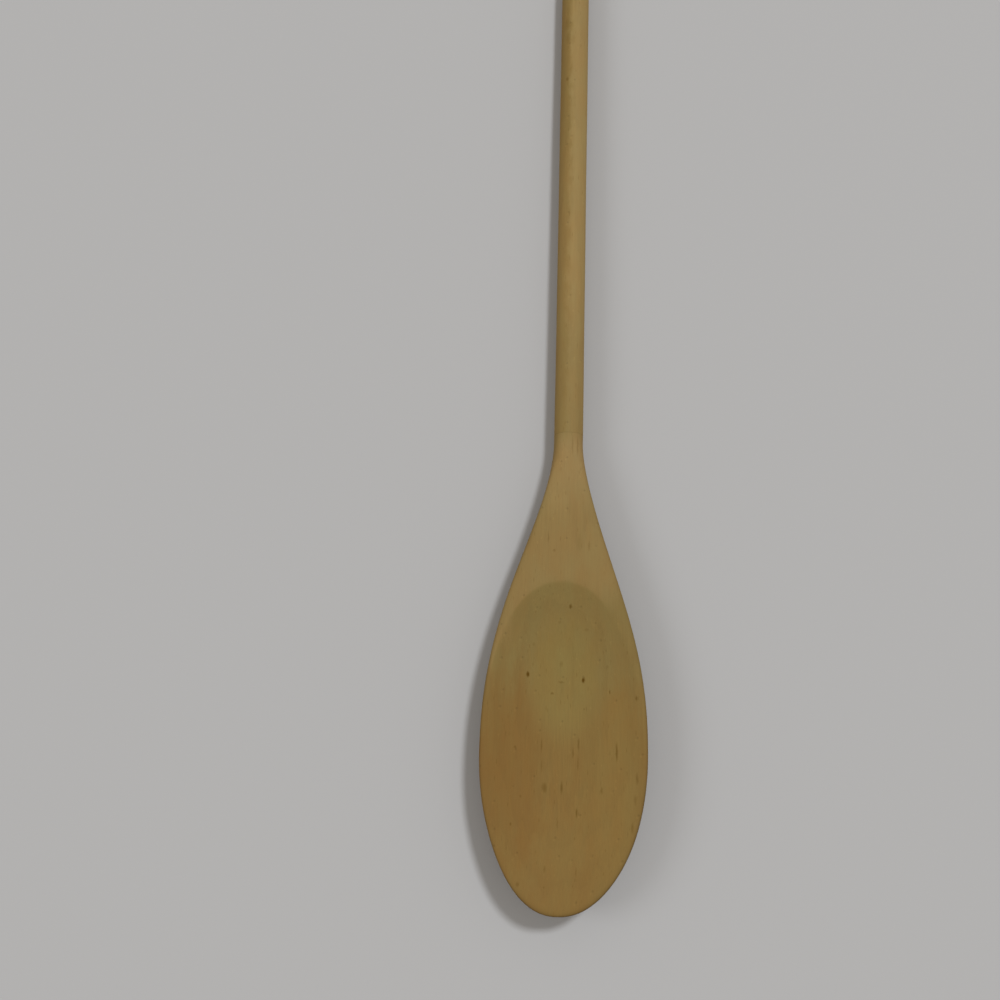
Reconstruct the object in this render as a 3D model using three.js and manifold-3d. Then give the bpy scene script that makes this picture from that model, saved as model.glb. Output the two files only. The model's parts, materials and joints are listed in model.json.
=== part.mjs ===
/**
 * Wooden cooking spoon, made of two pieces of beech: a head with a hollowed
 * bowl, and a round handle whose tenon is glued into a socket in the neck.
 *
 * Millimetres, +Z up. The spoon lies as it does on a table, on the worn flat
 * of the bowl's back and on the end of the handle, with the handle towards +Y.
 * The origin is on the table, under the middle of the spoon.
 */
import * as THREE from "three";
import { mergeVertices } from "three/addons/utils/BufferGeometryUtils.js";
import Module from "manifold-3d";

// Head: places along it are measured from the tip, heights from the handle's axis
const HEAD_LENGTH = 163.5;
const BOWL_WIDTH = 56.5;
const WIDEST_FROM_TIP = 52;
const EDGE_HEIGHT = 3.2; // the line round the bowl where it is widest
const DECK_HEIGHT = 7; // the face round the hollow
const BACK_DROP = 8; // the back of the bowl, before wear
const NECK_LENGTH = 3.5; // the straight stretch that meets the handle
const FACE_RUN = 30; // where the round neck becomes flat-faced
const SHOULDER_FULLNESS = 1.14; // above 1 the shoulders swell nearer to the neck
const SHOULDER_FLARE = 1.7; // 2 leaves the neck gently, less leaves it sooner
const RIM_SQUARENESS = 8; // 2 rounds the upper edge off, more makes it crisper

// Hollow of the bowl
const HOLLOW_DEPTH = 6;
const MOUTH_FROM_TIP = 110;
const MOUTH_SQUARENESS = 2.15; // 2 is an oval end, more is a blunter one
const FLOOR_FALL = 2; // how the dish falls from its sides and its tip
const MOUTH_FALL = 3; // how it falls from its mouth, steeper at the edge
const RIM_WIDTH = 1;
const RIM_SAG = 6; // how late the dish bends down to its rim
const CUTTER_LIFT = 4; // room above the face, which holds no wood

// Handle
const HANDLE_LENGTH = 186.5;
const HANDLE_DIAMETER = 10.3;
const END_ROUNDING = 3;

// Glued joint in the neck
const TENON_DIAMETER = 6;
const TENON_LENGTH = 20;
const TENON_CHAMFER = 0.6;
const SOCKET_END_ROOM = 1;
const GLUE_GAP = 0.3;

// Worn flat on the back of the bowl
const WEAR_DEPTH = 0.3;

// Facets
const HEAD_SIDES = 48;
const TIP_STEPS = 14;
const SHOULDER_STEPS = 22;
const HOLLOW_SIDES = 56;
const HOLLOW_RINGS = 8;
const HANDLE_SIDES = 32;
const END_STEPS = 5;

const QUARTER_TURN = Math.PI / 2;
const ROUND = 2;
const handleRadius = HANDLE_DIAMETER / 2;
const spoonLength = HEAD_LENGTH + HANDLE_LENGTH;
const { lerp, smoothstep } = THREE.MathUtils;

const wasm = await Module();
wasm.setup();

/** A solid from a closed three.js geometry. */
function toSolid(geometry) {
  const skin = geometry.clone();
  skin.deleteAttribute("normal");
  skin.deleteAttribute("uv");
  const merged = mergeVertices(skin);
  const vertProperties = new Float32Array(merged.attributes.position.array);
  const triVerts = new Uint32Array(merged.index.array);
  return new wasm.Manifold(new wasm.Mesh({ numProp: 3, vertProperties, triVerts }));
}

/** The three.js geometry of a solid, with flat facets. */
function toGeometry(solid) {
  const { vertProperties, triVerts } = solid.getMesh();
  const indexed = new THREE.BufferGeometry();
  indexed.setAttribute("position", new THREE.BufferAttribute(vertProperties, 3));
  indexed.setIndex(new THREE.BufferAttribute(triVerts, 1));
  const geometry = indexed.toNonIndexed();
  geometry.computeVertexNormals();
  return geometry;
}

/** Moves each point of a geometry to where a formula puts it. */
function reshape(geometry, formula) {
  const points = geometry.attributes.position;
  const point = new THREE.Vector3();
  for (let i = 0; i < points.count; i += 1) {
    point.fromBufferAttribute(points, i);
    points.setXYZ(i, ...formula(point));
  }
  return geometry;
}

/** The radius of a superellipse of unit size in the direction (u, v). */
function superellipse(u, v, squareness) {
  return (Math.abs(u) ** squareness + Math.abs(v) ** squareness) ** (-1 / squareness);
}

/** The share of its full size that the head keeps towards the tip, where it closes. */
function tipTaper(station, squareness) {
  const towardsTip = Math.max(1 - station / WIDEST_FROM_TIP, 0);
  return (1 - towardsTip ** squareness) ** (1 / squareness);
}

/** How far the shoulders have swelled, from 0 at the neck to 1 at the bowl. */
function swell(station) {
  const run = HEAD_LENGTH - NECK_LENGTH - WIDEST_FROM_TIP;
  const along = THREE.MathUtils.clamp((station - WIDEST_FROM_TIP) / run, 0, 1);
  return Math.cos(QUARTER_TURN * along ** SHOULDER_FULLNESS) ** SHOULDER_FLARE;
}

/** Half the width of the head in plan. */
function halfWidth(station) {
  return tipTaper(station, ROUND) * lerp(handleRadius, BOWL_WIDTH / 2, swell(station));
}

/** The height of the face: level at the bowl, then falling to the neck. */
function faceHeight(station) {
  const pastMouth = Math.max(station - MOUTH_FROM_TIP, 0) / (HEAD_LENGTH - MOUTH_FROM_TIP);
  return lerp(DECK_HEIGHT, handleRadius, pastMouth ** 2);
}

/** The size and shape of the cross-section at a station. */
function section(station) {
  const bowl = swell(station);
  const edge = EDGE_HEIGHT * bowl;
  const flatness = smoothstep(HEAD_LENGTH - station, 0, FACE_RUN);
  return {
    edge,
    side: halfWidth(station),
    above: tipTaper(station, RIM_SQUARENESS) * (faceHeight(station) - edge),
    below: tipTaper(station, ROUND) * (edge + lerp(handleRadius, BACK_DROP, bowl)),
    squareness: lerp(ROUND, RIM_SQUARENESS, flatness),
  };
}

/** The point of the head's skin at a station, in the direction (u, v) across it. */
function headPoint(station, u, v) {
  const { edge, side, above, below, squareness } = section(station);
  const reach = superellipse(u, v, v > 0 ? squareness : ROUND);
  return [side * reach * u, station, edge + (v > 0 ? above : below) * reach * v];
}

/** The height of the head's upper side at a point of its plan. */
function topHeight(across, station) {
  const { edge, side, above, squareness } = section(station);
  const towardsEdge = Math.min(Math.abs(across) / side, 1);
  return edge + above * (1 - towardsEdge ** squareness) ** (1 / squareness);
}

/** The head before it is hollowed: round at the neck, flat-faced and wide at the bowl. */
function headBlank() {
  const profile = [new THREE.Vector2(0, 0)];
  for (let i = 1; i <= TIP_STEPS; i += 1) {
    const turn = (QUARTER_TURN * i) / TIP_STEPS;
    profile.push(new THREE.Vector2(1, WIDEST_FROM_TIP * (1 - Math.cos(turn))));
  }
  for (let i = 1; i <= SHOULDER_STEPS; i += 1) {
    profile.push(new THREE.Vector2(1, lerp(WIDEST_FROM_TIP, HEAD_LENGTH, i / SHOULDER_STEPS)));
  }
  profile.push(new THREE.Vector2(0, HEAD_LENGTH));
  const skin = new THREE.LatheGeometry(profile, HEAD_SIDES);
  return reshape(skin, ({ x, y, z }) => {
    const onAxis = x === 0 && z === 0;
    return onAxis ? [0, y, EDGE_HEIGHT * swell(y)] : headPoint(y, x, z);
  });
}

/** The rim of the hollow: its place and height in the direction (u, v) from the widest place. */
function hollowRim(u, v) {
  const reach = superellipse(u, v, v > 0 ? MOUTH_SQUARENESS : ROUND);
  const length = v > 0 ? MOUTH_FROM_TIP - WIDEST_FROM_TIP : WIDEST_FROM_TIP - RIM_WIDTH;
  const station = WIDEST_FROM_TIP + length * reach * v;
  const oval = (BOWL_WIDTH / 2 - RIM_WIDTH) * reach * Math.abs(u);
  const across = Math.sign(u) * Math.min(oval, halfWidth(station) - RIM_WIDTH);
  return { across, station, height: topHeight(across, station) };
}

/** How far the dish lies below its rim, at a share of the way out to it. */
function dishDepth(radius, v) {
  const fall = lerp(FLOOR_FALL, MOUTH_FALL, Math.max(v, 0) ** 2);
  return HOLLOW_DEPTH * (1 - radius ** fall);
}

/** The wood that the hollow takes away: a dish that ends at its rim, and the room above it. */
function hollowCutter() {
  const profile = [];
  for (let i = 0; i <= HOLLOW_RINGS; i += 1) {
    const radius = i / HOLLOW_RINGS;
    profile.push(new THREE.Vector2(radius, 0));
  }
  profile.push(new THREE.Vector2(1, CUTTER_LIFT));
  profile.push(new THREE.Vector2(0, CUTTER_LIFT));
  const skin = new THREE.LatheGeometry(profile, HOLLOW_SIDES).rotateX(QUARTER_TURN);
  return reshape(skin, ({ x, y, z }) => {
    const radius = Math.hypot(x, y);
    const onDish = z < CUTTER_LIFT / 2;
    const depth = onDish ? dishDepth(radius, radius > 0 ? y / radius : 0) : 0;
    if (radius === 0) return [0, WIDEST_FROM_TIP, DECK_HEIGHT + z - depth];
    const rim = hollowRim(x / radius, y / radius);
    const drop = depth + (DECK_HEIGHT - rim.height) * radius ** RIM_SAG;
    return [rim.across * radius, lerp(WIDEST_FROM_TIP, rim.station, radius), DECK_HEIGHT + z - drop];
  });
}

/** The socket in the end of the neck. */
function socketCutter() {
  const depth = TENON_LENGTH + SOCKET_END_ROOM;
  const radius = TENON_DIAMETER / 2 + GLUE_GAP;
  const skin = new THREE.CylinderGeometry(radius, radius, depth * 2, HANDLE_SIDES);
  return skin.translate(0, HEAD_LENGTH, 0);
}

/** The slope of the table under the spoon, from the worn flat to the end of the handle. */
const wornDrop = BACK_DROP - WEAR_DEPTH;
const restRun = spoonLength - END_ROUNDING - WIDEST_FROM_TIP;
const restAngle = Math.atan((wornDrop - handleRadius) / restRun);

/** The wood that wear has taken from the back: all that lies below the table. */
function wearCutter() {
  const skin = new THREE.BoxGeometry(BOWL_WIDTH, HEAD_LENGTH, BACK_DROP);
  skin.translate(0, 0, -BACK_DROP / 2);
  skin.rotateX(restAngle);
  return skin.translate(0, WIDEST_FROM_TIP, -wornDrop);
}

/** The head: its blank less the hollow, the socket and what wear has taken. */
function headGeometry() {
  const head = toSolid(headBlank())
    .subtract(toSolid(hollowCutter()))
    .subtract(toSolid(socketCutter()))
    .subtract(toSolid(wearCutter()));
  return toGeometry(head);
}

/** The handle: tenon, shoulder, shaft and rounded end, turned about the axis. */
function handleGeometry() {
  const tenonRadius = TENON_DIAMETER / 2;
  const profile = [
    new THREE.Vector2(0, -TENON_LENGTH),
    new THREE.Vector2(tenonRadius - TENON_CHAMFER, -TENON_LENGTH),
    new THREE.Vector2(tenonRadius, TENON_CHAMFER - TENON_LENGTH),
    new THREE.Vector2(tenonRadius, GLUE_GAP),
    new THREE.Vector2(handleRadius, GLUE_GAP),
  ];
  for (let i = 0; i <= END_STEPS; i += 1) {
    const turn = (QUARTER_TURN * i) / END_STEPS;
    const radius = handleRadius - END_ROUNDING * (1 - Math.cos(turn));
    profile.push(new THREE.Vector2(radius, HANDLE_LENGTH - END_ROUNDING * (1 - Math.sin(turn))));
  }
  profile.push(new THREE.Vector2(0, HANDLE_LENGTH));
  return new THREE.LatheGeometry(profile, HANDLE_SIDES);
}

/** A named piece of the spoon. */
function piece(name, geometry, colour, roughness) {
  const material = new THREE.MeshStandardMaterial({ color: colour, roughness, metalness: 0 });
  const mesh = new THREE.Mesh(geometry, material);
  mesh.name = name;
  return mesh;
}

const head = piece("bowl_head", headGeometry(), 0x83693c, 0.62);
const handle = piece("handle", handleGeometry(), 0x8e774a, 0.58);
handle.position.y = HEAD_LENGTH;

const spoon = new THREE.Group();
spoon.add(head, handle);
spoon.rotation.x = -restAngle;

const box = new THREE.Box3().setFromObject(spoon, true);
const middle = box.getCenter(new THREE.Vector3());
spoon.position.set(-middle.x, -middle.y, -box.min.z);

export default spoon;
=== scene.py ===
"""Wooden cooking spoon: the beech head and handle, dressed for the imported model.

The head is a fine skin over its hollowed blank, and the handle a turned rod whose
tenon sits in the neck. Both are in metres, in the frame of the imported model.
"""
import json
import math

import bpy
import numpy as np
from bpy.props import FloatProperty, FloatVectorProperty, PointerProperty
from mathutils import Matrix, Vector


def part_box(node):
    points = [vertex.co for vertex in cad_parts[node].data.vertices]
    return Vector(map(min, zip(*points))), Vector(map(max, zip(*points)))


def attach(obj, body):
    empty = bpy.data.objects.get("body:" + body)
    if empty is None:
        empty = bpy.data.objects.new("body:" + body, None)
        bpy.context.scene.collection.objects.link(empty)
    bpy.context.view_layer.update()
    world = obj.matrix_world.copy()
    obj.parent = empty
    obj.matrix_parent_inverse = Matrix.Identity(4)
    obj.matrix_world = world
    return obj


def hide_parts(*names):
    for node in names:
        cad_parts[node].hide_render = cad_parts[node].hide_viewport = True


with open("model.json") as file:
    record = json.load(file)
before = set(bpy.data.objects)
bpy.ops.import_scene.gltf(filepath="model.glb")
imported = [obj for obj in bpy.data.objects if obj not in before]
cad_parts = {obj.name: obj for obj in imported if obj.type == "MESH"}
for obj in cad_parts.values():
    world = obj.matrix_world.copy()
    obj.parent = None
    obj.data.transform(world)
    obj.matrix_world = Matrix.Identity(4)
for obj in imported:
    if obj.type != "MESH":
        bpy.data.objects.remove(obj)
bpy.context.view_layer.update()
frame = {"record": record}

bl_info = {
    "name": "Wooden Spoon",
    "version": (1, 0, 0),
    "blender": (4, 5, 0),
    "location": "View3D > Sidebar > Wooden Spoon",
    "description": "Makes a beech cooking spoon and the table it lies on",
    "category": "Add Mesh",
}

MM = 0.001
TINY = 1e-9  # keeps a division from failing

# Kinds of property
LENGTH = {"unit": "LENGTH", "subtype": "DISTANCE"}
COLOUR = {"subtype": "COLOR", "min": 0, "max": 1}
LIGHT_COLOUR = {"subtype": "COLOR", "min": 0, "max": 2}
SHARE = {"subtype": "FACTOR", "min": 0, "max": 1}
STRENGTH = {"subtype": "FACTOR", "min": 0, "max": 3}
LENS = {"unit": "CAMERA", "subtype": "DISTANCE_CAMERA", "min": 1}

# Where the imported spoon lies: the end of the handle and the directions of the spoon
HANDLE_END = next(m for m in frame["record"]["mounts"] if m["name"] == "handle_end")
END_POINT = Vector(HANDLE_END["pos_m"])
ACROSS = Vector((1, 0, 0))
ALONG = Vector(HANDLE_END["axis"]).normalized()
UPWARDS = ACROSS.cross(ALONG)
HEAD_LOW, HEAD_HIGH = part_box("bowl_head")
HANDLE_LOW, HANDLE_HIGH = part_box("handle")

# Shape of the head that a user would not change
ROUND = 2.0  # exponent of an oval
NECK_LENGTH = 3.5 * MM
FACE_RUN = 30 * MM  # over which the round neck turns into the flat face
SHOULDER_FULLNESS = 1.14
SHOULDER_FLARE = 1.7
TIP_BLUNTNESS = 0.07  # what the oval's exponent gains at the tip
BLUNT_RUN = 6 * MM
RIM_SQUARENESS = 8.0
EDGE_SOFTNESS = 0.7 * MM
FLAT_SOFTNESS = 0.12 * MM

# Shape of the hollow
MOUTH_SQUARENESS = 2.15
MOUTH_SHIFT = -0.9 * MM  # its mouth is cut a little off the middle
FLOOR_FALL = 2.0  # how the dish falls from its sides
MOUTH_FALL = 3.0  # how it falls from its mouth, steeper at the edge
RIM_SAG = 6.0  # how closely the dish keeps to its rim where the rim is low
RIM_REACH = 1.3  # how far past the rim it does so
DISH_MIDDLE = 1e-4  # share of the way to the rim that counts as the middle
# The hollow's darker tone is partly painted shade
MOUTH_FADE = (0.985, 1.008)  # where the hollow's tone ends, in shares of the way to the rim

# How far the hand-shaped head leans to the left: at its shoulders, along the bowl and at the tip
SHOULDER_SWAY = -0.5 * MM
SWAY_CENTRE = 112 * MM
SWAY_RUN = 30 * MM
BOWL_SWAY = -0.28 * MM
SWAY_FULL = 60 * MM
SWAY_START = 140 * MM
TIP_SWAY = -1.3 * MM
TIP_RUN = 30 * MM

# Unevenness that hand sanding leaves: its depth, its waves along and across, and where it runs out
SANDING_DEPTH = 0.06 * MM
SHORT_WAVE = (9.1 * MM, 4.783 * MM)
LONG_WAVE = (23.7 * MM, -7.647 * MM)
LONG_WAVE_TURN = 1.1
BACK_TURN = 2.0
HEAD_RUN_OUT = 4 * MM
HANDLE_RUN_OUT = 6 * MM

# Glued joint
GLUE_LINE = 0.02 * MM
SOCKET_ROOM = 0.3 * MM
SOCKET_END_ROOM = 1 * MM
TENON_CHAMFER = 0.6 * MM
JOINT_CHAMFER = 0.02 * MM

# Fineness of the skins
TIP_RINGS = 96
BOWL_STEP = 0.6 * MM
NECK_STEP = 0.8 * MM
BOWL_RUN_OUT = 10 * MM
FACE_COLUMNS = 144
BACK_COLUMNS = 80
HEAD_COLUMNS = FACE_COLUMNS + BACK_COLUMNS
OUTLINE_SAMPLES = 1441
HANDLE_COLUMNS = 96
SHAFT_STEP = 1.0 * MM
END_RINGS = 14
SHOULDER_RING = 4  # the handle's ring at the outside of its shoulder
SHARP_ANGLE = math.radians(35)
CORNERS = ((1, 0), (1, 1), (0, 1), (0, 0))  # steps of ring and column round a face

# Flat maps, in shares of their side: margins, the head's two islands, the handle's three strips
MAP_EDGE = 0.01
MAP_ROOM = 1.02
FACE_ON_MAP = 0.25
BACK_ON_MAP = 0.75
WIDTH_ON_MAP = 1.3
SOCKET_ON_MAP = 0.2
TIP_ON_MAP = 0.002
STRIP_EDGE = 0.015
STRIP_PITCH = 0.33
STRIP_WIDTH = 0.32
STRIP_LENGTH = 0.97
STRIP_ROOM = 3 * MM
STRIP_END = 0.01

# Wear and painted shade: how far in the rim is darkened and where, a little all round as wear and most
# on the lower right and at the tip as painted shade on edges turned from the key lamp, and how the upper
# side's tone ends at the edge
EDGE_WEAR_AND_SHADE = 0.7 * MM
LEAST_WEAR = 0.25
SHADED_BEARING = (0.3, 0.8)  # right of the spoon's line, in radians round the tip
TIP_SHADE = 0.7
TIP_SHADE_RUN = (3 * MM, 11 * MM)
EDGE_FADE = 1.5 * MM
HANDLE_FADE = (-2.5, 1.5)  # heights on the handle (mm)
FACING_FADE = (0.4, 0.8)  # upward parts of a normal between which marks appear
TIP_RING_STEP = 0.12 * MM  # rings this close lie where the tip cuts the grain

# Noise of the grain: grains per millimetre across, along and through the wood, detail, roughness
STREAKS = ((0.42, 0.010, 0.42), 5.0, 0.62)
FIBRES = ((2.4, 0.10, 2.4), 3.0, 0.60)
MOTTLE = ((0.09, 0.045, 0.09), 3.0, 0.55)
CLOUDS = ((0.16, 0.060, 0.16), 4.0, 0.60)
BLOTCHES = ((0.55, 0.25, 0.55), 3.0, 0.55)
BLOTCH_REACH = 5.0  # how far blotches shift a tone's edge (mm)
NOISE_MIDDLE = 0.5

# Places that noise moves about: the same, then how far (mm)
WANDER = ((0.035, 0.010, 0.035), 1.0, 0.55, (5.0, 0.0, 5.0))
SHAKE = ((1.6, 0.7, 1.6), 2.0, 0.55, (0.6, 1.1, 0.0))

# Growth layers: depth (mm), slope, how far the grain shifts them (mm), where each darkens and ends
LAYER_DEPTH = 2.3
LAYER_SLOPE = 0.05
LAYER_SHIFTS = {"streak": 3.0, "mottle": 3.0}
LAYER_DARKENS = (0.45, 0.92)
LAYER_ENDS = (0.93, 1.0)

# Dashes along the grain: grains per millimetre, size of a dash and share of the grains that have one
FLECKS = ((1.9, 0.26, 1.9), 0.34, 0.22)
PORES = ((4.2, 0.55, 4.2), 0.40, 0.45)
NICKS = ((0.85, 0.40, 0.85), 0.30, 0.22)
DASH_CORE = 0.3  # share of a dash that is at its fullest

# Pits: grains per millimetre, where a pit ends, which grains have one, the way to its lit edge (mm)
PITS = (0.15, 0.13, 0.15)
PIT_FADE = (0.02, 0.075)
PIT_LOTS = (0.45, 0.6)
PIT_EDGE = (0.55, 0.75, 0.0)

# What the grain's features add to the wood's lightness, roughness and height
FIBRE_LIGHT = 0.18
OPEN_FIBRE_LIGHT = 0.16
LIGHTENING = {
    "streak": 0.11,
    "mottle": 0.10,
    "cloud": 0.10,
    "layer": -0.030,
    "pore": -0.05,
    "nick": 0.10,
    # pit: painted shade in each pit; pit_highlight: painted highlight on its edge towards the key lamp
    "pit": -0.16,
    "pit_highlight": 0.08,
}
# End grain darker; the rim darker, most of it painted shade on the lower right and at the tip
WEAR_AND_SHADE_LIGHTENING = {"end": -0.18, "edge": -0.48}
ROUGHENING = {"streak": 0.16, "fibre": 0.10, "mottle": 0.10, "pore": 0.06, "end": 0.08, "mark": 0.10}
RAISING = {
    "fibre": 0.5,
    "streak": 0.12,
    "pore": -0.35,
    "fleck": -0.5,
    "mark": -0.3,
    "nick": -0.5,
    "pit": -0.5,
}

# Clouds turn the wood's tone a little redder or greener
HUE_FADE = (-0.20, 0.20)
REDDER = (1.018, 0.982, 0.960)
GREENER = (0.982, 1.018, 1.040)

# Where a tone gives way to the next, from the tip (mm), and how far the grain shifts that (mm)
STAIN_FADE = (52.0, 92.0, {"streak": 40.0, "mottle": 30.0})
BARE_FADE = (84.0, 96.0, {})
# Where the darker, greyer wood ends, partly painted shade towards the tip
USED_AND_SHADE_FADE = (86.0, 102.0, {"cloud": 12.0})
NECK_FADE = (128.0, 158.0, {"mottle": 20.0})
# Painted shade on the neck's left flank, with darker unsanded wood there
FLANK_FADE = (143.0, 160.0, {"cloud": 10.0})
JOINT_FADE = (158.5, 164.0, {"streak": 6.0, "fibre": 3.0})
GRIP_FADE = (160.0, 235.0, {"mottle": 30.0})
# Painted shade on the handle's left grows stronger and blotchier towards the end
SHADE_AND_BLOTCH_FADE = (240.0, 300.0, {})

# The same across the spoon
FLANK_SIDE = (-4.6, -2.2, {"streak": 2.0})
BARE_SIDE = (-19.5, -16.5, {"cloud": -4.0})
# The handle's left, darkened as painted shade turned from the key lamp, with darker blotches of wood
SHADE_AND_BLOTCH_SIDE = (-3.0, 0.2, {"streak": 2.0})
# The slant of the darker, greyer wood, partly painted shade
USED_AND_SHADE_SLANT = 0.75  # how far the end of the used wood slants across the face

# How much of a tone shows where it is fullest
JOINT_SHARE = 0.85
FLANK_SHARE = 0.65
BARE_SHARE = 0.7
REDDENED_SHARE = 0.75
FLECK_SHARE = 0.32
# How much painted shade and dark blotch the handle's left shows
SHADE_AND_BLOTCH_SHARE = (0.65, 1.0)  # towards the joint and towards the end

# Marks on the wood: across, from the tip, half width, half length (mm), darkness
HEAD_MARKS = (
    (1.9, 101.6, 0.60, 0.65, 0.72),
    (-12.3, 78.2, 0.55, 1.00, 0.95),
    (6.6, 76.8, 0.56, 1.00, 1.00),
    (-3.9, 72.1, 0.55, 0.45, 0.46),
    (-1.0, 82.1, 0.60, 1.00, 0.22),
    (-1.7, 96.2, 0.60, 0.50, 0.18),
    (7.6, 93.8, 0.90, 0.40, 0.18),
    (-10.5, 88.4, 0.60, 0.60, 0.16),
    (14.6, 81.4, 0.45, 0.60, 0.20),
    (7.0, 67.1, 0.30, 0.35, 0.30),
    (-0.9, 75.9, 1.10, 0.40, 0.34),
    (15.4, 72.9, 0.30, 0.75, 0.50),
    (24.2, 70.9, 0.40, 0.90, 0.50),
    (17.9, 53.0, 0.40, 3.20, 0.54),
    (-7.3, 54.8, 0.32, 2.20, 0.32),
    (5.2, 55.3, 0.34, 2.00, 0.40),
    (-6.0, 40.8, 0.90, 1.60, 0.42),
    (-0.3, 40.9, 0.42, 2.10, 0.50),
    (13.0, 40.3, 0.45, 1.20, 0.34),
    (4.8, 32.9, 0.32, 1.60, 0.50),
    (-17.2, 28.9, 0.35, 0.50, 0.48),
    (-13.9, 9.9, 0.60, 0.90, 0.32),
    (24.5, 44.6, 0.45, 1.80, 0.38),
    (24.0, 37.6, 0.45, 1.60, 0.24),
    (23.0, 28.6, 0.50, 1.60, 0.32),
    (3.4, 52.4, 0.28, 1.80, 0.32),
    (5.1, 49.0, 0.28, 2.40, 0.30),
    (-16.2, 54.0, 0.45, 0.50, 0.36),
    (-14.1, 37.8, 0.35, 0.50, 0.32),
    (-7.1, 48.0, 0.28, 2.00, 0.28),
    (-1.6, 29.5, 0.28, 2.20, 0.26),
    (-5.3, 14.8, 0.35, 1.20, 0.26),
    (5.0, 14.0, 0.28, 1.40, 0.24),
    (-5.2, 9.2, 0.35, 0.40, 0.32),
    (-6.4, 125.0, 0.28, 1.80, 0.26),
    (7.8, 122.5, 0.40, 1.80, 0.22),
    (4.4, 123.5, 1.30, 3.20, 0.11),
    (-4.2, 120.6, 0.50, 0.45, 0.28),
    (1.2, 158.5, 0.30, 3.50, 0.22),
    (3.0, 158.5, 0.30, 3.50, 0.28),
)
HANDLE_MARKS = (
    (-2.9, 302.8, 0.50, 0.90, 0.45),
    (-3.3, 326.5, 1.10, 2.60, 0.20),
    (-3.0, 320.5, 0.90, 2.20, 0.16),
)

# Patches of another tone in the hollow: across, from the tip, half width, half length (mm)
PALE_HEART = (0.5, 77.0, 11.5, 20.0)
REDDENED_SIDE = (-17.5, 46.0, 12.5, 31.0)
YELLOW_SIDE = (18.0, 41.0, 7.0, 33.0)
OPEN_GRAIN = (0.5, 46.0, 10.0, 18.0)

# Where a patch and a mark fade, in shares of the way to their edges
PATCH_FADE = (0.55, 1.35, {"streak": 0.5, "cloud": 0.9})
MARK_FADE = (0.25, 1.45)

# Sheen and relief of the sanded wood
WOOD_SHINE = 0.12
RELIEF_STRENGTH = 0.35
RELIEF_DEPTH = 0.12 * MM

# Stage: the table, the ways to the lamps and their spread, and the camera
TABLE_RADIUS = 3.0
TABLE_CORNERS = 96
TABLE_ROUGHNESS = 0.8
TABLE_SHINE = 0.2
KEY_WAY = Vector((0.42, 0.46, 1.0))
KEY_SPREAD = math.radians(9.6)
FILL_WAY = Vector((-1.28, 0.0, 1.0))
FILL_SPREAD = math.radians(25.0)
CAMERA_PLACE = Vector((-23.92, -124.19, 423.22)) * MM
CAMERA_TILT = math.radians(12.0)
CAMERA_ROLL = 0.0283
SENSOR_WIDTH = 36.0
NEAREST_SEEN = 10 * MM


class SpoonSizes(bpy.types.PropertyGroup):
    """Sizes of the spoon; places along it are from the tip, heights from the handle's axis."""

    length: FloatProperty(
        name="Length",
        description="Whole length of the spoon",
        default=350 * MM,
        **LENGTH,
    )
    head_length: FloatProperty(
        name="Head length",
        description="From the tip to the joint in the neck",
        default=163.5 * MM,
        **LENGTH,
    )
    bowl_width: FloatProperty(
        name="Bowl width",
        description="Across the bowl at its widest",
        default=HEAD_HIGH.x - HEAD_LOW.x,
        **LENGTH,
    )
    widest: FloatProperty(
        name="Widest place",
        description="From the tip to where the bowl is widest",
        default=52 * MM,
        **LENGTH,
    )
    edge_height: FloatProperty(
        name="Edge height",
        description="Height of the line round the bowl where it is widest",
        default=3.2 * MM,
        **LENGTH,
    )
    deck_height: FloatProperty(
        name="Face height",
        description="Height of the face round the hollow",
        default=7 * MM,
        **LENGTH,
    )
    back_drop: FloatProperty(
        name="Back drop",
        description="How far the back of the bowl reaches below the axis",
        default=8 * MM,
        **LENGTH,
    )
    hollow_depth: FloatProperty(
        name="Hollow depth",
        description="Depth of the hollow under the face",
        default=6 * MM,
        **LENGTH,
    )
    mouth: FloatProperty(
        name="Mouth",
        description="From the tip to the end of the hollow",
        default=110 * MM,
        **LENGTH,
    )
    rim_width: FloatProperty(
        name="Rim width",
        description="Wood left between the hollow and the outside",
        default=1 * MM,
        **LENGTH,
    )
    handle_diameter: FloatProperty(
        name="Handle diameter",
        description="Thickness of the round handle",
        default=HANDLE_HIGH.x - HANDLE_LOW.x,
        **LENGTH,
    )
    end_rounding: FloatProperty(
        name="End rounding",
        description="Radius at the end of the handle",
        default=3 * MM,
        **LENGTH,
    )
    tenon_diameter: FloatProperty(
        name="Tenon diameter",
        description="Thickness of the tenon in the neck",
        default=6 * MM,
        **LENGTH,
    )
    tenon_length: FloatProperty(
        name="Tenon length",
        description="Length of the tenon in the neck",
        default=20 * MM,
        **LENGTH,
    )


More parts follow.
